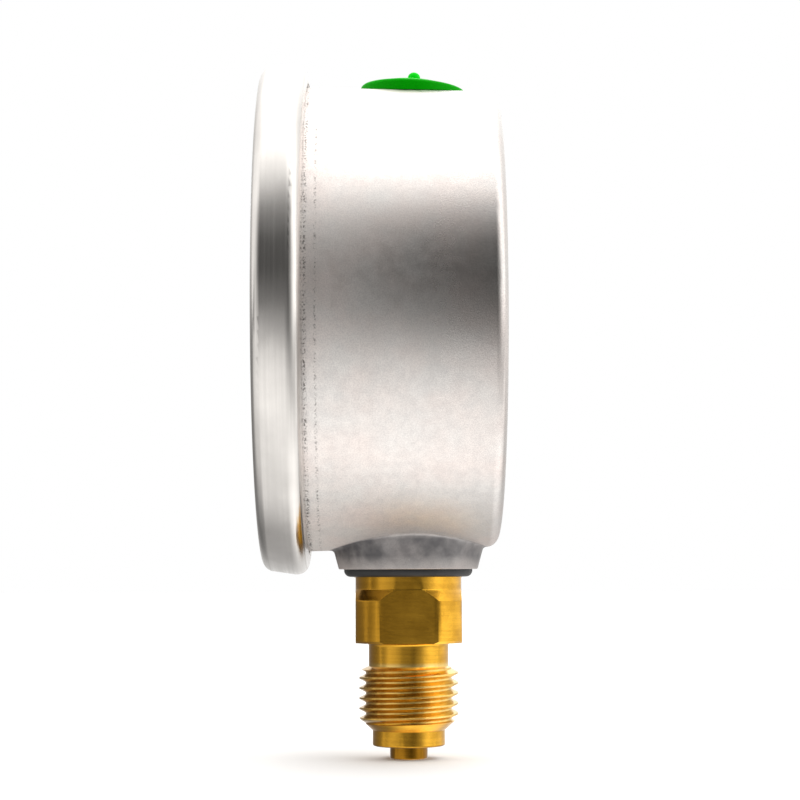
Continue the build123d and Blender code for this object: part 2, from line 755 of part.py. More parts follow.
PARTS = {
    "case": make_case,
    "bezel_ring": make_bezel_ring,
    "window": make_window,
    "window_gasket": make_window_gasket,
    "filler_plug": make_filler_plug,
    "socket": make_socket,
    "socket_seal": make_socket_seal,
    "restrictor_screw": make_restrictor_screw,
    "bourdon_tube": make_bourdon_tube,
    "tube_end_piece": make_tube_end_piece,
    "link_pin": make_link_pin,
    "link": make_link,
    "link_screw": make_link_screw,
    "sector_gear": make_sector_gear,
    "sector_arbor": make_sector_arbor,
    "pinion_arbor": make_pinion_arbor,
    "hairspring_collet": make_hairspring_collet,
    "hairspring": make_hairspring,
    "hairspring_stud": make_hairspring_stud,
    "movement_front_plate": make_front_plate,
    "movement_back_plate": make_back_plate,
    "movement_pillars": make_pillars,
    "movement_screws": make_movement_screws,
    "mounting_screws": make_mounting_screws,
    "dial": make_dial,
    "dial_posts": make_dial_posts,
    "dial_screws": make_dial_screws,
    "pointer": make_pointer,
    "pointer_hub": make_pointer_hub,
    "pointer_stop_pin": make_pointer_stop_pin,
}

os.makedirs("parts", exist_ok=True)
for node, make in PARTS.items():
    save(node, make())
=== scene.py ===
import math

import bpy
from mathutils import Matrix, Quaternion, Vector


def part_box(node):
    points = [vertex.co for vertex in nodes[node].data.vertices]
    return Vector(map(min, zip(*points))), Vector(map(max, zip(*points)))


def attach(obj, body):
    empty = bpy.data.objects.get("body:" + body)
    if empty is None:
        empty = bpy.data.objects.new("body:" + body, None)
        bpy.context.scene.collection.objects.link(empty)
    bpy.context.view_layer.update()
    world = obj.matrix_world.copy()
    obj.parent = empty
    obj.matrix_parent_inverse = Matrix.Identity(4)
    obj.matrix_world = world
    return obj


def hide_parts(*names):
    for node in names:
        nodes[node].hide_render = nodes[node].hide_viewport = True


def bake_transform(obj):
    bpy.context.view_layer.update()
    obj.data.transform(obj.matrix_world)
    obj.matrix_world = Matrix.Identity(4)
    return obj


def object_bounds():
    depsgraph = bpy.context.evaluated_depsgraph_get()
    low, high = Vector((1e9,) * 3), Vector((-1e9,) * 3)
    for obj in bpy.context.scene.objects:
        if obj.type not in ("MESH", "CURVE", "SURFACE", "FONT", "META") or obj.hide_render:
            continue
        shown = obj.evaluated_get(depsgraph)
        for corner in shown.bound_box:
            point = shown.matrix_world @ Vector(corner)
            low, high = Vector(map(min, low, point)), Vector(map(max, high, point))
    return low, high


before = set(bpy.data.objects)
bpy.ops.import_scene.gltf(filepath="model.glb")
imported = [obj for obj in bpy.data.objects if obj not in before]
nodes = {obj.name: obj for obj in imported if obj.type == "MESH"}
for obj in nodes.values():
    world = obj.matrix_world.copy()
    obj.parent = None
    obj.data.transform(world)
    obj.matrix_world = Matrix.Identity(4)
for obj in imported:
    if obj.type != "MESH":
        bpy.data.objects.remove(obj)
cad_lowest, cad_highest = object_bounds()

# Bourdon-tube pressure gauge. The origin is on the sealing face at the end of its stem, the stem
# stands along Z, the dial faces -Y, and lengths are metres. The case is round about an axis along Y
# through CENTRE.
MM = 0.001
dial_low, dial_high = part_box("dial")
CENTRE = (dial_low + dial_high) / 2
CENTRE.y = 0.0
STEM_AXIS = Vector((0.0, 0.0, 0.0))
DIAL_FACE = dial_low.y

# ---- camera ----
CAMERA_DISTANCE = 290.5 * MM
CAMERA_BELOW = math.radians(6.39)       # seen from the gauge's centre
CAMERA_SIDE = -3.23 * MM
CAMERA_PITCH = math.radians(4.27)       # upwards
CAMERA_YAW = math.radians(0.44)
CAMERA_ROLL = math.radians(-0.21)
CAMERA_LENS = 97.1
CAMERA_NEAR = 10 * MM
CAMERA_FAR = 10.0

# ---- light: how bright the soft studio is, by direction ----
# LEVEL_ANGLES go up from +X towards +Z, round an axis along Y. Each row of LEVELS is for one share
# of the direction that points along Y, from the reader's side to the back of the case.
LEVEL_ANGLES = (-180, -145, -115, -90, -62, -43, -21, -11, 3, 16, 30, 46, 60, 78, 125)
LEVELS = {
    -1.00: (0.30, 0.45, 0.90, 1.10, 1.10, 0.90, 0.50, 0.28, 0.22, 0.25, 0.50, 1.00, 1.30, 1.40, 1.40),
    -0.88: (0.30, 0.40, 0.85, 1.10, 1.10, 1.15, 1.15, 1.10, 1.00, 1.00, 1.05, 1.15, 1.30, 1.40, 1.40),
    -0.50: (0.30, 0.20, 0.40, 0.90, 1.25, 1.45, 1.30, 0.90, 0.45, 0.16, 0.16, 0.60, 1.35, 1.70, 1.50),
    -0.31: (0.60, 0.35, 0.35, 1.20, 1.50, 1.60, 1.20, 0.55, 0.20, 0.09, 0.10, 0.32, 1.10, 2.00, 1.90),
    0.00: (1.20, 0.75, 0.95, 1.70, 1.60, 1.35, 0.82, 0.40, 0.22, 0.12, 0.18, 0.50, 1.45, 2.40, 2.30),
    0.25: (1.00, 1.10, 1.60, 1.90, 1.65, 1.30, 0.60, 0.24, 0.11, 0.07, 0.10, 0.42, 1.60, 2.40, 2.30),
    0.62: (0.90, 0.80, 1.80, 2.00, 1.60, 1.00, 0.60, 0.50, 0.50, 0.60, 1.00, 1.70, 2.20, 2.30, 1.60),
    0.90: (1.30, 0.90, 1.40, 1.50, 1.00, 0.95, 1.15, 1.35, 1.60, 1.80, 1.80, 1.90, 2.00, 2.00, 1.20),
}
STUDIO_TINT = (1.0, 0.985, 0.965)
FLOOR_HALF_SIZE = 1.5
FLOOR_COLOUR = (0.95, 0.95, 0.95)
FLOOR_CLOUD_COLOUR = (0.94, 0.94, 0.94)
FLOOR_CLOUD_SIZE = 1 / 3

# ---- smooth shading ----
JOIN_DISTANCE = 0.0005 * MM
SHARP_ANGLE = math.radians(32)

# ---- the case's finish: Y and heights are from CENTRE ----
STAINLESS = (0.62, 0.60, 0.58)
CASE_GRADE = (-13.0 * MM, 12.0 * MM)    # Y, over which the front's painted light and roughness turn into the back's
CASE_FRONT_PAINTED_LIGHT = 1.32                        # how much lighter the front is painted: painted light, leaving the back darker as painted shade
CASE_ROUGH_FRONT = 0.48
CASE_ROUGH_BACK = 0.18
JOINT_LINES = ((-12.8 * MM, 0.35 * MM, 0.9), (-11.5 * MM, 0.25 * MM, 0.6))      # Y, half width, darkness
# Where the painted shade on the collar round the stem lies.
COLLAR_EDGE = 10.3 * MM                 # distance from the stem's axis
COLLAR_FADE = 0.4 * MM
COLLAR_TOP = -27.0 * MM
COLLAR_LIP = -33.4 * MM
COLLAR_LIP_HEIGHT = 1.8 * MM
DULL_HEIGHTS = (-28.0 * MM, -19.0 * MM)     # the case grows duller over these, down towards the collar
DULL_ROUGHNESS = 0.30

# ---- the stem's and the plug's finish: Y and heights are from CENTRE ----
BRASS = (0.84, 0.45, 0.045)
# Paler, yellower brass painted into the thread as painted light.
THREAD_PAINTED_LIGHT_BRASS = (0.96, 0.68, 0.22)
TARNISH_AND_SHADE_SHARE = (0.34, 0.29, 0.22)            # share of each colour channel left by tarnish, by the painted shade on the dial's side and by the spigot's darkening
FRONT_PAINTED_SHADE = (-5.0 * MM, 0.5 * MM)   # Y, over which the painted shade on the dial's side fades
FRONT_PAINTED_SHADE_DEPTH = 0.70
SPIGOT_DARKENING_DEPTH = 1.35                # how dark the spigot below SPIGOT_TOP is painted; over 1, so that no metal shows through it
THREAD_TOP = -46.0 * MM
THREAD_BOTTOM = -53.2 * MM
THREAD_FADE = 0.4 * MM
SPIGOT_TOP = -56.4 * MM
SPIGOT_FADE = 0.3 * MM
# Heights over which the plug's painted shade fades out towards its top.
PLUG_PAINTED_SHADE = (31.2 * MM, 32.4 * MM)

# ---- the dial's scale ----
SCALE_START = 225.0         # degrees anticlockwise from +X, as the reader sees them
SCALE_SWEEP = 270.0
SCALE_UNITS = 10
TICKS_PER_UNIT = 10
UNITS_PER_NUMBER = 2
SCALE_RADIUS = 25.6 * MM
ARC_WIDTH = 0.3 * MM
ARC_STEPS = 180
MAJOR_TICK = (3.6 * MM, 0.55 * MM)      # length, width
HALF_TICK = (2.6 * MM, 0.40 * MM)
MINOR_TICK = (1.8 * MM, 0.22 * MM)
NUMBER_RADIUS = 18.6 * MM
NUMBER_SIZE = 4.6 * MM
UNIT_SIZE = 4.2 * MM
UNIT_BELOW_CENTRE = 14.5 * MM
LETTER_THICKENING = 0.012               # share of the letters' size
PRINT_THICKNESS = 0.02 * MM


# ---- node helpers ----
MIX_FACTOR, MIX_A, MIX_B, MIX_RESULT = 0, 6, 7, 2      # a Mix node's inputs and output, for colours


def is_socket(value):
    return isinstance(value, bpy.types.NodeSocket)


def add_node(tree, kind, settings=None, values=None):
    """A node with each value set on its input, or linked to it where the value is another node's output."""
    made = tree.nodes.new(kind)
    for setting, value in (settings or {}).items():
        setattr(made, setting, value)
    for entry, value in (values or {}).items():
        if is_socket(value):
            tree.links.new(value, made.inputs[entry])
        else:
            made.inputs[entry].default_value = value
    return made


class Finish:
    """A Principled material, with short calls for the nodes that feed it."""

    def __init__(self, name, colour, roughness, **inputs):
        self.material = bpy.data.materials.new(name)
        self.material.use_nodes = True
        self.tree = self.material.node_tree
        self.shader = self.tree.nodes["Principled BSDF"]
        self.shader.inputs["Base Color"].default_value = (*colour, 1.0)
        self.shader.inputs["Roughness"].default_value = roughness
        for entry, value in inputs.items():
            self.shader.inputs[entry.replace("_", " ")].default_value = value

    def node(self, kind, settings=None, values=None):
        return add_node(self.tree, kind, settings, values)

    def set(self, entry, source):
        self.tree.links.new(source, self.shader.inputs[entry])

    def math(self, operation, first, second=0.0):
        return self.node("ShaderNodeMath", {"operation": operation}, {0: first, 1: second}).outputs[0]

    def vector_math(self, operation, first, second):
        made = self.node("ShaderNodeVectorMath", {"operation": operation}, {0: first, 1: second})
        return made.outputs["Vector"]

    def length(self, vector):
        made = self.node("ShaderNodeVectorMath", {"operation": "LENGTH"}, {0: vector})
        return made.outputs["Value"]

    def split(self, vector):
        """The vector's parts, by the names X, Y and Z."""
        return self.node("ShaderNodeSeparateXYZ", values={"Vector": vector}).outputs

    def place(self, centre=(0.0, 0.0, 0.0)):
        """Position in the row frame, from centre."""
        coordinates = self.node("ShaderNodeTexCoord")
        return self.vector_math("SUBTRACT", coordinates.outputs["Object"], tuple(centre))

    def noise(self, vector, scale, detail=3.0, roughness=0.55):
        values = {"Vector": vector, "Scale": scale, "Detail": detail, "Roughness": roughness}
        return self.node("ShaderNodeTexNoise", values=values).outputs["Fac"]

    def spots(self, size, detail=3.0, roughness=0.55):
        """Noise whose spots are about this size."""
        return self.noise(self.place(), 1.0 / size, detail, roughness)

    def turned(self, centre, axis, across, along):
        """Position stretched so that noise runs in rings round the axis, on its sides and on its ends."""
        place = self.place(centre)
        off_axis = tuple(0.0 if name == axis else 1.0 for name in "XYZ")
        radius = self.length(self.vector_math("MULTIPLY", place, off_axis))
        ring = self.node("ShaderNodeCombineXYZ", values={0: radius, 1: self.split(place)[axis]})
        rings = self.vector_math("MULTIPLY", ring.outputs[0], (across,) * 3)
        return self.vector_math("ADD", rings, self.vector_math("MULTIPLY", place, (along,) * 3))

    def brushed(self, centre, scales):
        """Position stretched so that noise runs in straight lines."""
        return self.vector_math("MULTIPLY", self.place(centre), scales)

    def remap(self, value, low, high, new_low, new_high):
        """value from low to high becomes new_low to new_high, and stays inside them."""
        values = {"Value": value, "From Min": low, "From Max": high, "To Min": new_low, "To Max": new_high}
        return self.node("ShaderNodeMapRange", {"clamp": True}, values).outputs["Result"]

    def band(self, value, middle, half_width):
        """1 in the middle of a band, falling to 0 at its edges."""
        away = self.math("ABSOLUTE", self.math("SUBTRACT", value, middle))
        return self.remap(away, 0.0, half_width, 1.0, 0.0)

    def mix(self, factor, first, second, blend="MIX"):
        colours = [value if is_socket(value) else (*value, 1.0) for value in (first, second)]
        made = self.node("ShaderNodeMix", {"data_type": "RGBA", "blend_type": blend},
                         {MIX_FACTOR: factor, MIX_A: colours[0], MIX_B: colours[1]})
        return made.outputs[MIX_RESULT]

    def bump(self, height, strength, distance, under=None):
        values = {"Height": height, "Strength": strength, "Distance": distance}
        if under is not None:
            values["Normal"] = under
        return self.node("ShaderNodeBump", values=values).outputs["Normal"]


def scaled(colour, share):
    """The colour made darker, or lighter up to white."""
    return tuple(min(1.0, channel * share) for channel in colour)


# ---- materials ----
def satin_metal(name, colour, roughness, tool_marks, grain, **inputs):
    """Metal whose colour, gloss and surface follow its tool marks.

    tool_marks(finish) gives the stretched position that the marks follow, and grain is
    (size of the cloudy patches, size of the fine grain, depth of the marks).
    """
    patch, fine, depth = grain
    finish = Finish(name, colour, roughness, Metallic=1.0, **inputs)
    marks = finish.noise(tool_marks(finish), 1.0, detail=4.0)
    clouds = finish.spots(patch, detail=4.0)
    dust = finish.spots(fine, detail=2.0)
    dull = scaled(colour, 0.86)
    bright = scaled(colour, 1.05)
    shade = finish.mix(finish.remap(clouds, 0.35, 0.65, 0.0, 1.0), bright, dull)
    shade = finish.mix(finish.remap(marks, 0.35, 0.7, 0.0, 0.35), shade, dull)
    finish.set("Base Color", shade)
    gloss = finish.math("ADD", finish.remap(marks, 0.3, 0.7, -0.05, 0.05),
                        finish.remap(clouds, 0.3, 0.7, -0.04, 0.04))
    finish.set("Roughness", finish.math("ADD", gloss, roughness))
    surface = finish.bump(marks, 0.35, depth)
    finish.set("Normal", finish.bump(dust, 0.25, depth * 0.6, surface))
    return finish


# The marks that each way of working the metal leaves, as stretched positions. A larger number is finer.
def turned_marks(finish):
    return finish.turned(CENTRE, "Y", 2600.0, 25.0)


def fine_turned_marks(finish):
    return finish.turned(CENTRE, "Y", 9000.0, 200.0)


def drawn_marks(finish):
    return finish.brushed(CENTRE, (700.0, 4500.0, 700.0))


def rolled_marks(finish):
    return finish.brushed(CENTRE, (300.0, 5000.0, 6000.0))


def case_finish():
    """Deep-drawn stainless steel with an even grain: duller in front and glossier behind, with painted
    light making the front paler and painted shade making the back darker.

    Two rough lines run round it just behind the bezel, and painted shade, uneven in patches, darkens the
    collar round the stem.
    """
    warm, mottled, dusty = (1.03, 0.975, 0.96), (0.78, 0.78, 0.80), (0.84, 0.84, 0.85)
    line_dirt, collar_painted_shade = (0.06, 0.055, 0.05), (0.17, 0.165, 0.17)
    finish = Finish("case_steel", STAINLESS, CASE_ROUGH_FRONT, Metallic=1.0, Anisotropic=0.25)
    parts = finish.split(finish.place(CENTRE))
    back, up = parts["Y"], parts["Z"]
    marks = finish.noise(finish.turned(CENTRE, "Y", 2600.0, 60.0), 1.0)
    clouds = finish.spots(7 * MM)
    mottle = finish.spots(1.3 * MM, detail=2.0)
    dust = finish.spots(0.16 * MM, roughness=0.7)

    # Painted light and shade: the front is painted paler than the back.
    shade = finish.mix(finish.remap(back, *CASE_GRADE, 0.0, 1.0), scaled(STAINLESS, CASE_FRONT_PAINTED_LIGHT), STAINLESS)
    shade = finish.mix(finish.remap(clouds, 0.35, 0.65, 0.0, 1.0), shade, warm, "MULTIPLY")
    shade = finish.mix(finish.remap(mottle, 0.35, 0.7, 0.0, 0.25), shade, mottled, "MULTIPLY")
    shade = finish.mix(finish.remap(dust, 0.38, 0.62, 0.0, 1.0), shade, dusty, "MULTIPLY")

    specks = finish.remap(finish.spots(0.30 * MM, detail=2.0), 0.50, 0.62, 0.0, 1.0)
    for middle, half_width, darkness in JOINT_LINES:
        line = finish.math("MULTIPLY", finish.band(back, middle, half_width), specks)
        shade = finish.mix(finish.math("MULTIPLY", line, darkness), shade, line_dirt)

    # Painted shade on the collar round the stem: uneven in patches, darkest at its top and lightest at its
    # lip.
    from_stem = finish.length(finish.vector_math("MULTIPLY", finish.place(), (1.0, 1.0, 0.0)))
    near_stem = finish.remap(from_stem, COLLAR_EDGE, COLLAR_EDGE + COLLAR_FADE, 1.0, 0.0)
    below_case = finish.remap(up, COLLAR_TOP - MM, COLLAR_TOP, 1.0, 0.0)
    collar = finish.math("MULTIPLY", near_stem, below_case)
    collar_shade_patches = finish.remap(finish.spots(3.2 * MM), 0.35, 0.65, 0.62, 1.0)
    off_lip = finish.remap(up, COLLAR_LIP, COLLAR_LIP + COLLAR_LIP_HEIGHT, 0.35, 1.0)
    collar_shade_patches = finish.math("MULTIPLY", collar_shade_patches, off_lip)
    shade = finish.mix(finish.math("MULTIPLY", collar, collar_shade_patches), shade, collar_painted_shade)
    finish.set("Base Color", shade)

    gloss = finish.math("ADD", finish.remap(back, *CASE_GRADE, CASE_ROUGH_FRONT, CASE_ROUGH_BACK),
                        finish.remap(up, *DULL_HEIGHTS, DULL_ROUGHNESS, 0.0))
    finish.set("Roughness", finish.math("ADD", gloss, finish.remap(mottle, 0.3, 0.7, -0.03, 0.03)))
    finish.set("Normal", finish.bump(dust, 0.5, 0.02 * MM, finish.bump(marks, 0.12, 0.012 * MM)))
    return finish


def brass_finish():
    """Turned brass, tarnished in patches, with painted shade on the dial's side, dark at its end, and
    painted light in the thread.
    """
    finish = Finish("stem_brass", BRASS, 0.18, Metallic=1.0)
    parts = finish.split(finish.place(CENTRE))
    back, up = parts["Y"], parts["Z"]
    rings = finish.noise(finish.turned(STEM_AXIS, "Z", 2400.0, 60.0), 1.0, detail=4.0)
    clouds = finish.spots(3.0 * MM, detail=4.0)
    dust = finish.spots(0.25 * MM)

    tarnish_and_shade_brown = tuple(channel * left for channel, left in zip(BRASS, TARNISH_AND_SHADE_SHARE))
    patches = finish.remap(clouds, 0.42, 0.68, 0.0, 0.45)
    # Painted shade: the brass's side towards the dial is painted darker.
    front = finish.remap(back, *FRONT_PAINTED_SHADE, FRONT_PAINTED_SHADE_DEPTH, 0.0)
    # The spigot below SPIGOT_TOP is painted dark brown.
    end = finish.remap(up, SPIGOT_TOP - SPIGOT_FADE, SPIGOT_TOP, SPIGOT_DARKENING_DEPTH, 0.0)
    tarnish_and_shade = finish.math("MAXIMUM", finish.math("MAXIMUM", patches, front), end)
    # Painted light: the thread is painted paler and yellower than the rest of the brass.
    in_thread = finish.math("MULTIPLY", finish.remap(up, THREAD_TOP, THREAD_TOP + THREAD_FADE, 1.0, 0.0),
                            finish.remap(up, THREAD_BOTTOM - THREAD_FADE, THREAD_BOTTOM, 0.0, 1.0))
    shade = finish.mix(in_thread, BRASS, THREAD_PAINTED_LIGHT_BRASS)
    tarnish_and_shade = finish.math("MULTIPLY", tarnish_and_shade, finish.remap(dust, 0.3, 0.7, 0.85, 1.0))
    shade = finish.mix(tarnish_and_shade, shade, tarnish_and_shade_brown)
    finish.set("Base Color", finish.mix(finish.remap(rings, 0.35, 0.7, 0.0, 0.25), shade, tarnish_and_shade_brown))
    finish.set("Roughness", finish.math("ADD", finish.remap(clouds, 0.3, 0.7, 0.13, 0.24),
                                        finish.remap(dust, 0.3, 0.7, -0.03, 0.03)))
    finish.set("Normal", finish.bump(dust, 0.3, 0.02 * MM, finish.bump(rings, 0.35, 0.03 * MM)))
    return finish


def painted(name, colour, roughness, grain, bump, uneven=0.12, **inputs):
    """Paint, rubber or plastic with a fine uneven surface, and colour in patches 14 grains wide."""
    finish = Finish(name, colour, roughness, **inputs)
    clouds = finish.spots(14 * grain, detail=4.0)
    fine = finish.spots(grain)
    shade = finish.mix(finish.remap(clouds, 0.35, 0.65, 0.0, 1.0), colour, scaled(colour, 1.0 - uneven))
    finish.set("Base Color", shade)
    finish.set("Roughness", finish.remap(clouds, 0.3, 0.7, roughness - 0.06, roughness + 0.06))
    finish.set("Normal", finish.bump(fine, bump, grain))
    return finish


def plug_finish():
    """Green rubber with painted shade, darker near the rim that sits on the case."""
    clean, painted_shade_green = (0.0, 0.72, 0.01), (0.0, 0.40, 0.0)
    finish = painted("green_rubber", clean, 0.5, 0.16 * MM, 0.2, Specular_IOR_Level=0.05)
    uneven = finish.remap(finish.spots(0.9 * MM, detail=4.0), 0.3, 0.7, -0.15 * MM, 0.15 * MM)
    height = finish.math("ADD", finish.split(finish.place(CENTRE))["Z"], uneven)
    # Painted shade: the plug darkens towards the rim that sits on the case.
    finish.set("Base Color", finish.mix(finish.remap(height, *PLUG_PAINTED_SHADE, 0.0, 1.0), painted_shade_green, clean))
    return finish


def glass_finish():
    """Clear flat glass, very slightly wavy."""
    finish = Finish("window_glass", (0.99, 1.0, 0.995), 0.0, IOR=1.5, Transmission_Weight=1.0)
    waves = finish.noise(finish.place(), 120.0, detail=2.0)
    finish.set("Normal", finish.bump(waves, 0.04, 0.05 * MM))
    return finish


def make_materials():
    made = {}
    made["case"] = case_finish()
    made["bezel"] = satin_metal("bezel_steel", STAINLESS, 0.20, turned_marks,
                                (12 * MM, 0.25 * MM, 0.008 * MM), Anisotropic=0.3)
    made["brass"] = brass_finish()
    made["plate_brass"] = satin_metal("plate_brass", (0.80, 0.56, 0.20), 0.33, rolled_marks,
                                      (4 * MM, 0.2 * MM, 0.01 * MM))
    made["arbor_steel"] = satin_metal("arbor_steel", (0.62, 0.62, 0.62), 0.25, fine_turned_marks,
                                      (2 * MM, 0.1 * MM, 0.006 * MM))
    made["bronze"] = satin_metal("tube_bronze", (0.72, 0.42, 0.20), 0.30, drawn_marks,
                                 (5 * MM, 0.2 * MM, 0.01 * MM))
    made["spring_bronze"] = satin_metal("spring_bronze", (0.70, 0.40, 0.18), 0.25, fine_turned_marks,
                                        (2 * MM, 0.1 * MM, 0.004 * MM))
    made["nickel_silver"] = satin_metal("nickel_silver", (0.66, 0.62, 0.52), 0.30, rolled_marks,
                                        (3 * MM, 0.15 * MM, 0.008 * MM))
    made["rubber"] = painted("black_rubber", (0.018, 0.018, 0.019), 0.55, 0.12 * MM, 0.4)
    made["plug"] = plug_finish()
    made["dial"] = painted("dial_paint", (0.95, 0.95, 0.935), 0.45, 0.10 * MM, 0.06, uneven=0.03)
    made["print"] = painted("dial_print", (0.012, 0.012, 0.013), 0.5, 0.08 * MM, 0.1)
    made["pointer"] = painted("pointer_paint", (0.014, 0.014, 0.015), 0.38, 0.10 * MM, 0.12)
    made["glass"] = glass_finish()
    return {key: finish.material for key, finish in made.items()}


FINISHES = {
    "case": ["case"],
    "bezel": ["bezel_ring"],
    "glass": ["window"],
    "rubber": ["window_gasket", "socket_seal"],
    "plug": ["filler_plug"],
    "brass": ["socket", "tube_end_piece"],
    "plate_brass": ["movement_front_plate", "movement_back_plate", "movement_pillars", "sector_gear",
                    "dial_posts", "hairspring_stud", "hairspring_collet", "pointer_hub"],
    "arbor_steel": ["movement_screws", "mounting_screws", "dial_screws", "pinion_arbor", "sector_arbor",
                    "link_screw", "link_pin", "pointer_stop_pin", "restrictor_screw"],
    "bronze": ["bourdon_tube"],
    "spring_bronze": ["hairspring"],
    "nickel_silver": ["link"],
    "dial": ["dial"],
    "pointer": ["pointer"],
}


def paint(obj, material):
    obj.data.materials.clear()
    obj.data.materials.append(material)


# ---- smooth shading across the seams between a piece's faces ----
def make_smoothing():
    """A node group that joins a mesh's faces, and keeps an edge sharp only where they meet at an angle."""
    group = bpy.data.node_groups.new("smooth_shading", "GeometryNodeTree")
    for direction in ("INPUT", "OUTPUT"):
        group.interface.new_socket("Geometry", in_out=direction, socket_type="NodeSocketGeometry")
    entry = group.nodes.new("NodeGroupInput")
    joined = group.nodes.new("GeometryNodeMergeByDistance")
    joined.inputs["Distance"].default_value = JOIN_DISTANCE
    plain = group.nodes.new("GeometryNodeRemoveAttribute")
    plain.inputs["Name"].default_value = "custom_normal"
    angle = group.nodes.new("GeometryNodeInputMeshEdgeAngle")
    gentle = group.nodes.new("FunctionNodeCompare")
    gentle.operation = "LESS_THAN"
    gentle.inputs["B"].default_value = SHARP_ANGLE
    faces = group.nodes.new("GeometryNodeSetShadeSmooth")
    edges = group.nodes.new("GeometryNodeSetShadeSmooth")
    edges.domain = "EDGE"
    leave = group.nodes.new("NodeGroupOutput")
    link = group.links.new
    link(entry.outputs[0], joined.inputs["Geometry"])
    link(joined.outputs["Geometry"], plain.inputs["Geometry"])
    link(plain.outputs["Geometry"], faces.inputs["Geometry"])
    link(faces.outputs["Geometry"], edges.inputs["Geometry"])
    link(angle.outputs["Unsigned Angle"], gentle.inputs["A"])
    link(gentle.outputs["Result"], edges.inputs["Shade Smooth"])
    link(edges.outputs["Geometry"], leave.inputs[0])
    return group


def smooth(obj, group):
    obj.modifiers.new("joined", "NODES").node_group = group
    weighted = obj.modifiers.new("weighted", "WEIGHTED_NORMAL")
    weighted.keep_sharp = True


# ---- dial print ----
def dial_point(radius, angle):
    turn = math.radians(angle)
    return Vector((CENTRE.x + radius * math.cos(turn), 0.0, CENTRE.z + radius * math.sin(turn)))


def mesh_object(name, corners, faces):
    mesh = bpy.data.meshes.new(name)
    mesh.from_pydata(corners, [], faces)
    mesh.validate()
    made = bpy.data.objects.new(name, mesh)
    bpy.context.scene.collection.objects.link(made)
    return made


def raised(name, outlines):
    """One mesh of flat outlines in the dial's plane, each made PRINT_THICKNESS deep."""
    corners, faces = [], []
    for outline in outlines:
        count = len(outline)
        start = len(corners)
        corners += [(point.x, DIAL_FACE - PRINT_THICKNESS, point.z) for point in outline]
        corners += [(point.x, DIAL_FACE, point.z) for point in outline]
        faces.append([start + i for i in range(count)])
        faces.append([start + count + i for i in reversed(range(count))])
        for i in range(count):
            after = (i + 1) % count
            faces.append([start + i, start + count + i, start + count + after, start + after])
    return mesh_object(name, corners, faces)


def tick_outline(angle, length, width):
    outward = dial_point(1.0, angle) - CENTRE
    sideways = Vector((-outward.z, 0.0, outward.x)) * width / 2
    outer = dial_point(SCALE_RADIUS, angle)
    inner = dial_point(SCALE_RADIUS - length, angle)
    return [outer + sideways, inner + sideways, inner - sideways, outer - sideways]


def make_ticks():
    outlines = []
    steps = SCALE_UNITS * TICKS_PER_UNIT
    for step in range(steps + 1):
        if step % TICKS_PER_UNIT == 0:
            length, width = MAJOR_TICK
        elif step % (TICKS_PER_UNIT // 2) == 0:
            length, width = HALF_TICK
        else:
            length, width = MINOR_TICK
        outlines.append(tick_outline(SCALE_START - SCALE_SWEEP * step / steps, length, width))
    return raised("dial_ticks", outlines)


def make_arc():
    outer = SCALE_RADIUS + ARC_WIDTH
    angles = [SCALE_START - SCALE_SWEEP * step / ARC_STEPS for step in range(ARC_STEPS + 1)]
    outlines = []
    for first, second in zip(angles, angles[1:]):
        outlines.append([dial_point(outer, first), dial_point(SCALE_RADIUS, first),
                         dial_point(SCALE_RADIUS, second), dial_point(outer, second)])
    return raised("dial_arc", outlines)


def make_words(name, words):
    """One mesh of upright figures on the dial, from (text, size, centre) entries."""
    letterings = []
    for text, size, place in words:
        curve = bpy.data.curves.new(name, "FONT")
        curve.body = text
        curve.size = size
        curve.align_x = "CENTER"
        curve.align_y = "CENTER"
        curve.extrude = PRINT_THICKNESS / 2
        curve.offset = LETTER_THICKENING * size
        lettering = bpy.data.objects.new(name, curve)
        bpy.context.scene.collection.objects.link(lettering)
        lettering.rotation_euler = (math.radians(90), 0.0, 0.0)
        lettering.location = (place.x, DIAL_FACE - PRINT_THICKNESS / 2, place.z)
        letterings.append(lettering)
    bpy.context.view_layer.update()
    depsgraph = bpy.context.evaluated_depsgraph_get()
    corners, faces = [], []
    for lettering in letterings:
        mesh = bpy.data.meshes.new_from_object(lettering.evaluated_get(depsgraph))
        mesh.transform(lettering.matrix_world)
        start = len(corners)
        corners += [tuple(vertex.co) for vertex in mesh.vertices]
        faces += [[start + i for i in polygon.vertices] for polygon in mesh.polygons]
        bpy.data.meshes.remove(mesh)
        bpy.data.objects.remove(lettering)
    return mesh_object(name, corners, faces)


def make_dial_print(material):
    numbers = []
    for number in range(0, SCALE_UNITS + 1, UNITS_PER_NUMBER):
        angle = SCALE_START - SCALE_SWEEP * number / SCALE_UNITS
        numbers.append((str(number), NUMBER_SIZE, dial_point(NUMBER_RADIUS, angle)))
    unit = CENTRE - Vector((0.0, 0.0, UNIT_BELOW_CENTRE))
    for piece in (make_ticks(), make_arc(), make_words("dial_numbers", numbers),
                  make_words("dial_unit", [("bar", UNIT_SIZE, unit)])):
        paint(piece, material)
        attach(piece, "gauge_body")


# ---- the tube ----
def make_tube(material):
    """A copy of the rigid tube, shown in its place while the original is hidden."""
    mesh = nodes["bourdon_tube"].data.copy()
    mesh.name = "tube_curve"
    tube = bpy.data.objects.new("tube_curve", mesh)
    bpy.context.scene.collection.objects.link(tube)
    paint(tube, material)
    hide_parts("bourdon_tube")
    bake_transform(tube)


# ---- studio ----
def studio_row(tree, share, levels, brightest):
    """The colour round the Y axis at one station along it, as a ramp over share."""
    sweep = add_node(tree, "ShaderNodeValToRGB", values={"Fac": share})
    stops = sweep.color_ramp.elements
    for degrees, level in zip((*LEVEL_ANGLES, 180), (*levels, levels[0])):
        place = (degrees + 180.0) / 360.0
        if place == 0.0:
            stop = stops[0]
        elif place == 1.0:
            stop = stops[-1]
        else:
            stop = stops.new(place)
        stop.color = (*scaled(STUDIO_TINT, level / brightest), 1.0)
    return sweep.outputs["Color"]


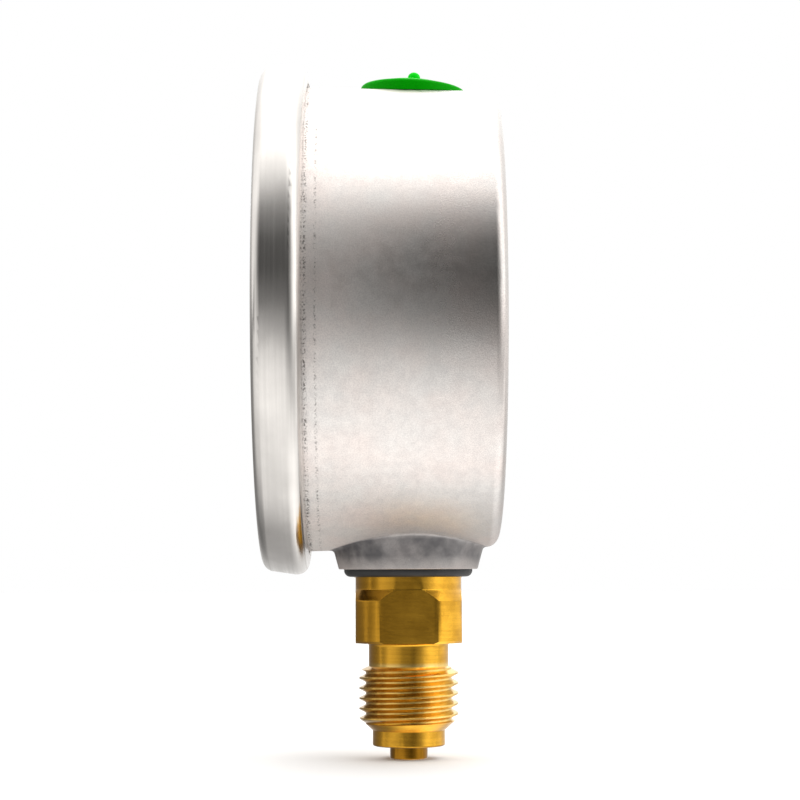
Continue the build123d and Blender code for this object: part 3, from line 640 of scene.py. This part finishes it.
def make_world():
    """Soft light from every direction at its own level. The camera itself sees plain white."""
    world = bpy.data.worlds.new("studio")
    bpy.context.scene.world = world
    world.use_nodes = True
    tree = world.node_tree
    tree.nodes.clear()
    coordinates = add_node(tree, "ShaderNodeTexCoord")
    parts = add_node(tree, "ShaderNodeSeparateXYZ", values={0: coordinates.outputs["Generated"]}).outputs
    angle = add_node(tree, "ShaderNodeMath", {"operation": "ARCTAN2"}, {0: parts["Z"], 1: parts["X"]})
    share = add_node(tree, "ShaderNodeMapRange",
                     values={"Value": angle.outputs[0], "From Min": -math.pi, "From Max": math.pi})
    brightest = max(max(levels) for levels in LEVELS.values())
    stations = sorted(LEVELS)
    rows = [studio_row(tree, share.outputs["Result"], LEVELS[station], brightest) for station in stations]
    shade = rows[0]
    for nearer, station, row in zip(stations, stations[1:], rows[1:]):
        passed = add_node(tree, "ShaderNodeMapRange", {"clamp": True},
                          {"Value": parts["Y"], "From Min": nearer, "From Max": station})
        mixed = add_node(tree, "ShaderNodeMix", {"data_type": "RGBA"},
                         {MIX_FACTOR: passed.outputs["Result"], MIX_A: shade, MIX_B: row})
        shade = mixed.outputs[MIX_RESULT]
    lit = add_node(tree, "ShaderNodeBackground", values={"Color": shade, "Strength": brightest})
    plain = add_node(tree, "ShaderNodeBackground", values={"Color": (1.0, 1.0, 1.0, 1.0), "Strength": 1.0})
    seen = add_node(tree, "ShaderNodeLightPath")
    either = add_node(tree, "ShaderNodeMixShader", values={0: seen.outputs["Is Camera Ray"],
                                                           1: lit.outputs[0], 2: plain.outputs[0]})
    add_node(tree, "ShaderNodeOutputWorld", values={0: either.outputs[0]})


def make_floor():
    half = FLOOR_HALF_SIZE
    floor = mesh_object("floor", [(-half, -half, 0), (half, -half, 0), (half, half, 0), (-half, half, 0)],
                        [[0, 1, 2, 3]])
    floor.location.z = cad_lowest.z
    finish = Finish("floor", FLOOR_COLOUR, 0.9)
    clouds = finish.spots(FLOOR_CLOUD_SIZE, detail=2.0)
    finish.set("Base Color", finish.mix(clouds, FLOOR_COLOUR, FLOOR_CLOUD_COLOUR))
    paint(floor, finish.material)
    floor.visible_glossy = False
    floor.visible_diffuse = False


def make_camera():
    lens = bpy.data.cameras.new("camera")
    lens.lens = CAMERA_LENS
    lens.clip_start = CAMERA_NEAR
    lens.clip_end = CAMERA_FAR
    camera = bpy.data.objects.new("camera", lens)
    bpy.context.scene.collection.objects.link(camera)
    out = CAMERA_DISTANCE * math.cos(CAMERA_BELOW)
    down = CAMERA_DISTANCE * math.sin(CAMERA_BELOW)
    camera.location = CENTRE + Vector((out, CAMERA_SIDE, -down))
    looks = Vector((-math.cos(CAMERA_PITCH) * math.cos(CAMERA_YAW),
                    math.cos(CAMERA_PITCH) * math.sin(CAMERA_YAW),
                    math.sin(CAMERA_PITCH)))
    camera.rotation_mode = "QUATERNION"
    camera.rotation_quaternion = looks.to_track_quat("-Z", "Y") @ Quaternion((0, 0, 1), CAMERA_ROLL)
    bpy.context.scene.camera = camera


# ---- the gauge and its studio ----
materials = make_materials()
for key, names in FINISHES.items():
    for name in names:
        paint(nodes[name], materials[key])
smoothing = make_smoothing()
for node in nodes.values():
    smooth(node, smoothing)
make_dial_print(materials["print"])
make_tube(materials["bronze"])
make_world()
make_floor()
make_camera()
bpy.context.scene.view_settings.view_transform = "Standard"
